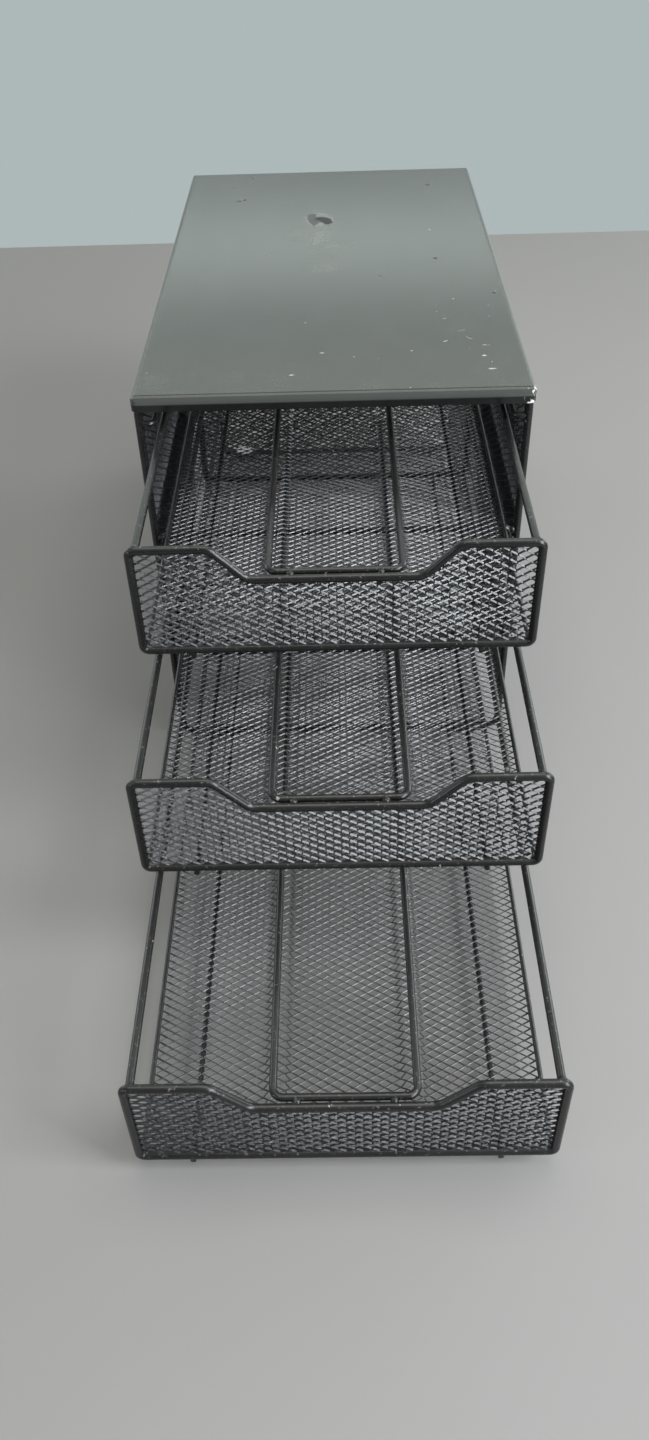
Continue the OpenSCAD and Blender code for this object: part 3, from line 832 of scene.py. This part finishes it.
def bead_piece(name, body, spots, shape, seed):
    """One mesh of beads on spots, which are (x, y, z, radius) in the cabinet's frame."""
    roundness, unevenness = shape
    flat = bpy.data.meshes.new(name + "_spots")
    flat.from_pydata([spot[:3] for spot in spots], [], [])
    sizes = flat.attributes.new("bead", "FLOAT", "POINT")
    sizes.data.foreach_set("value", [spot[3] for spot in spots])
    made = run_tree(name, flat, BEADS, {
        "Roundness": roundness, "Unevenness": unevenness, "Seed": seed, "Coat": WIRE})
    place_piece(name, made, Matrix.Identity(4), body, "wire")


def both_sides(x, y, z, radius):
    return [(-x, y, z, radius), (x, y, z, radius)]


def moved(spots, base):
    return [(x, y + base.y, z + base.z, radius) for x, y, z, radius in spots]


def cabinet_welds():
    """The weld beads of the guides, crossbars, runners and side rails."""
    spots = []
    for end_y in (-FRAME_Y, REAR_BAR_Y):
        for tier, ledge in LEDGES.items():
            spots += both_sides(GUIDE_END_X, end_y, ledge + GUIDE_LIFT, GUIDE_BEAD)
            if tier != "bottom":
                spots += both_sides(CROSSBAR_END_X, end_y, ledge - CROSSBAR_END_DROP, CROSSBAR_BEAD)
                spots += both_sides(EDGE_X, end_y, ledge, RUNNER_BEAD)
    for end_y in (-FRAME_Y + RAIL_BEAD_IN, FRAME_Y - RAIL_BEAD_IN):
        for rail_z in (LOWER_RAIL_Z, UPPER_RAIL_Z):
            spots += both_sides(POST_X, end_y, rail_z, RAIL_BEAD)
    return spots


def drawer_welds():
    """The weld beads of one drawer, from the middle of its front frame's bottom wire."""
    spots = []
    for x, z, (inset, lift, radius), ends in (
            (ROD_X, ROD_Z, ROD_WELD, ("front", "rear")),
            (EDGE_X, 0.0, EDGE_WELD, ("front", "rear")),
            (SUPPORT_X, 0.0, SUPPORT_WELD, ("front", "rear")),
            (STUB_X, SCOOP_Z, STUB_FRONT_WELD, ("front",)),
            (STUB_X, SCOOP_Z, STUB_DIVIDER_WELD, ("front",)),
            (LEG_X, DIVIDER_Z, LEG_WELD, ("rear",))):
        for end in ends:
            y = inset if end == "front" else DRAWER_L - inset
            spots += both_sides(x, y, z + lift, radius)
    return spots


def strand_ends():
    """The cut ends of the floor's strands, one at each diamond along both side edges."""
    spots = []
    for count in range(1, int(DRAWER_L / SHORT_WAY)):
        spots += both_sides(EDGE_X - STRAND_END_IN, count * SHORT_WAY, STRAND_END_UP, STRAND_END_BEAD)
    return spots


bead_piece("cabinet_welds", "cabinet", cabinet_welds(), WELD_SHAPE, CABINET_WELD_SEED)
for count, tier in enumerate(OPENED):
    base = drawer_base(tier)
    bead_piece(tier + "_drawer_welds", tier + "_drawer", moved(drawer_welds(), base),
               WELD_SHAPE, DRAWER_WELD_SEED + count)
    bead_piece(tier + "_strand_ends", tier + "_drawer", moved(strand_ends(), base),
               STRAND_END_SHAPE, STRAND_END_SEED + count)


# ---- Carried-over solids ----------------------------------------------------

for name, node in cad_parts.items():
    node.data.materials.clear()
    node.data.materials.append({"top_panel": TOP, "feet": RUBBER}.get(name, WIRE))


# ---- Camera -----------------------------------------------------------------

# The photograph's camera: its place, its angles in radians, and its focal length in pixels of
# a frame that is 1440 pixels high.
CAMERA_PLACE = (0.0022, -0.6195, 0.4224)
CAMERA_PITCH = 0.7301
CAMERA_YAW = -0.0234
CAMERA_ROLL = -0.035
FOCAL_PX = 1120.7
PHOTO_HEIGHT_PX = 1440.0
SENSOR_HEIGHT_MM = 36.0
NEAREST_SEEN = 0.01
FURTHEST_SEEN = 50.0


def camera_at(place, pitch, yaw, roll):
    """The scene's camera: it looks along Y, down by its pitch, and turned right by its yaw."""
    ahead = Vector((math.sin(yaw) * math.cos(pitch), math.cos(yaw) * math.cos(pitch), -math.sin(pitch)))
    level = Vector((math.cos(yaw), -math.sin(yaw), 0.0))
    up = level.cross(ahead)
    right = math.cos(roll) * level + math.sin(roll) * up
    top = -math.sin(roll) * level + math.cos(roll) * up
    data = bpy.data.cameras.new("camera")
    data.sensor_fit = "VERTICAL"
    data.sensor_height = SENSOR_HEIGHT_MM
    data.lens = FOCAL_PX * SENSOR_HEIGHT_MM / PHOTO_HEIGHT_PX
    data.clip_start = NEAREST_SEEN
    data.clip_end = FURTHEST_SEEN
    camera = add_object("camera", data)
    matrix = Matrix((right, top, -ahead)).transposed().to_4x4()
    matrix.translation = Vector(place)
    camera.matrix_world = matrix
    bpy.context.scene.camera = camera


camera_at(CAMERA_PLACE, CAMERA_PITCH, CAMERA_YAW, CAMERA_ROLL)


# ---- Lamps, room and floor --------------------------------------------------

# The lamps: place, the point that each faces, width and height, watts, and colour.
LAMPS = {
    "window_low": ((0.93, -1.34, 0.4), (0, -0.25, 0.1), (0.5, 0.5), 8.0, (0.92, 0.96, 1.0)),
    "window_middle": ((0.9, -1.1, 0.68), (0, -0.25, 0.1), (0.5, 0.42), 5.5, (0.92, 0.96, 1.0)),
    "window_high": ((0.96, -0.72, 1.0), (0, -0.25, 0.1), (0.5, 0.5), 15.0, (0.92, 0.96, 1.0)),
    "window_right_rear": ((1.5, 0.74, 0.6), (0, -0.1, 0.12), (1.0, 0.8), 13.0, (0.9, 0.95, 1.0)),
    "window_left_rear": ((-1.5, 0.74, 0.6), (0, -0.1, 0.12), (1.0, 0.8), 6.0, (0.9, 0.95, 1.0)),
    "window_left": ((-1.3, -1.0, 0.45), (0, -0.2, 0.12), (0.8, 0.6), 4.0, (0.88, 0.94, 1.0)),
    "ceiling": ((0.15, -0.15, 1.7), (0, -0.15, 0.1), (1.2, 1.2), 13.0, (1.0, 0.98, 0.94)),
    "far_wall_high": ((0.0, 1.9, 1.41), (0, 0, 1.41), (7.0, 0.58), 13.3, (0.95, 1.0, 0.94)),
    "far_wall_low": ((0.0, 1.9, 1.0), (0, 0, 1.0), (7.0, 0.235), 0.5, (0.95, 1.0, 0.93)),
    "far_wall_band": ((0.0, 1.89, 0.845), (0, 0, 0.845), (3.0, 0.09), 2.7, (0.9, 1.0, 0.96)),
}

# Where reflections of the wall turn from dim to pale, as the forward part of their direction.
WALL_TURN = (-0.1, 0.35)

# The floor's reach to the front and the sides, and its rear edge, which makes the horizon.
FLOOR_REACH = 6
FLOOR_REAR_Y = 0.634


def soft_lamp(name, place, aim, size, power, color):
    """A rectangular area lamp that the camera doesn't see."""
    data = bpy.data.lights.new(name, "AREA")
    data.shape = "RECTANGLE"
    data.size, data.size_y = size
    data.energy = power
    data.color = color
    lamp = add_object(name, data)
    lamp.location = place
    lamp.rotation_euler = (Vector(aim) - Vector(place)).to_track_quat("-Z", "Y").to_euler()
    lamp.visible_camera = False


def plain_room():
    """Dim light all round, and for the camera and reflections a wall that is pale ahead."""
    world = bpy.data.worlds.new("room")
    bpy.context.scene.world = world
    world.use_nodes = True
    world.node_tree.nodes.clear()
    build = Tree(world.node_tree)
    camera_ray = build.add("ShaderNodeLightPath", out="Is Camera Ray")
    seen = camera_ray | camera_ray.out("Is Glossy Ray") | camera_ray.out("Is Transmission Ray")
    forward = build.split(build.add("ShaderNodeTexCoord", out="Generated"))[1]
    wall = build.blend(build.step(forward, *WALL_TURN) | camera_ray, WALL_BEHIND, WALL_AHEAD)
    background = build.add("ShaderNodeBackground", None, {
        "Color": build.blend(seen, ROOM_LIGHT, wall), "Strength": 1.0})
    build.add("ShaderNodeOutputWorld", None, {"Surface": background})


def studio_floor():
    """A pale floor that keeps the cabinet's shadow."""
    finish, build, place = new_finish("pale_floor")
    close_finish(build, {
        "Base Color": build.blend(build.noise(place, 3.0), FLOOR_DEEP, FLOOR_PALE), "Roughness": 0.8})
    mesh = bpy.data.meshes.new("studio_floor")
    corners = rectangle(-FLOOR_REACH, -FLOOR_REACH, FLOOR_REACH, FLOOR_REAR_Y)
    mesh.from_pydata([(x, y, 0) for x, y in corners], [], [(0, 1, 2, 3)])
    mesh.materials.append(finish)
    floor = add_object("studio_floor", mesh)


for name, settings in LAMPS.items():
    soft_lamp(name, *settings)
plain_room()
studio_floor()
bpy.context.scene.view_settings.view_transform = "Standard"
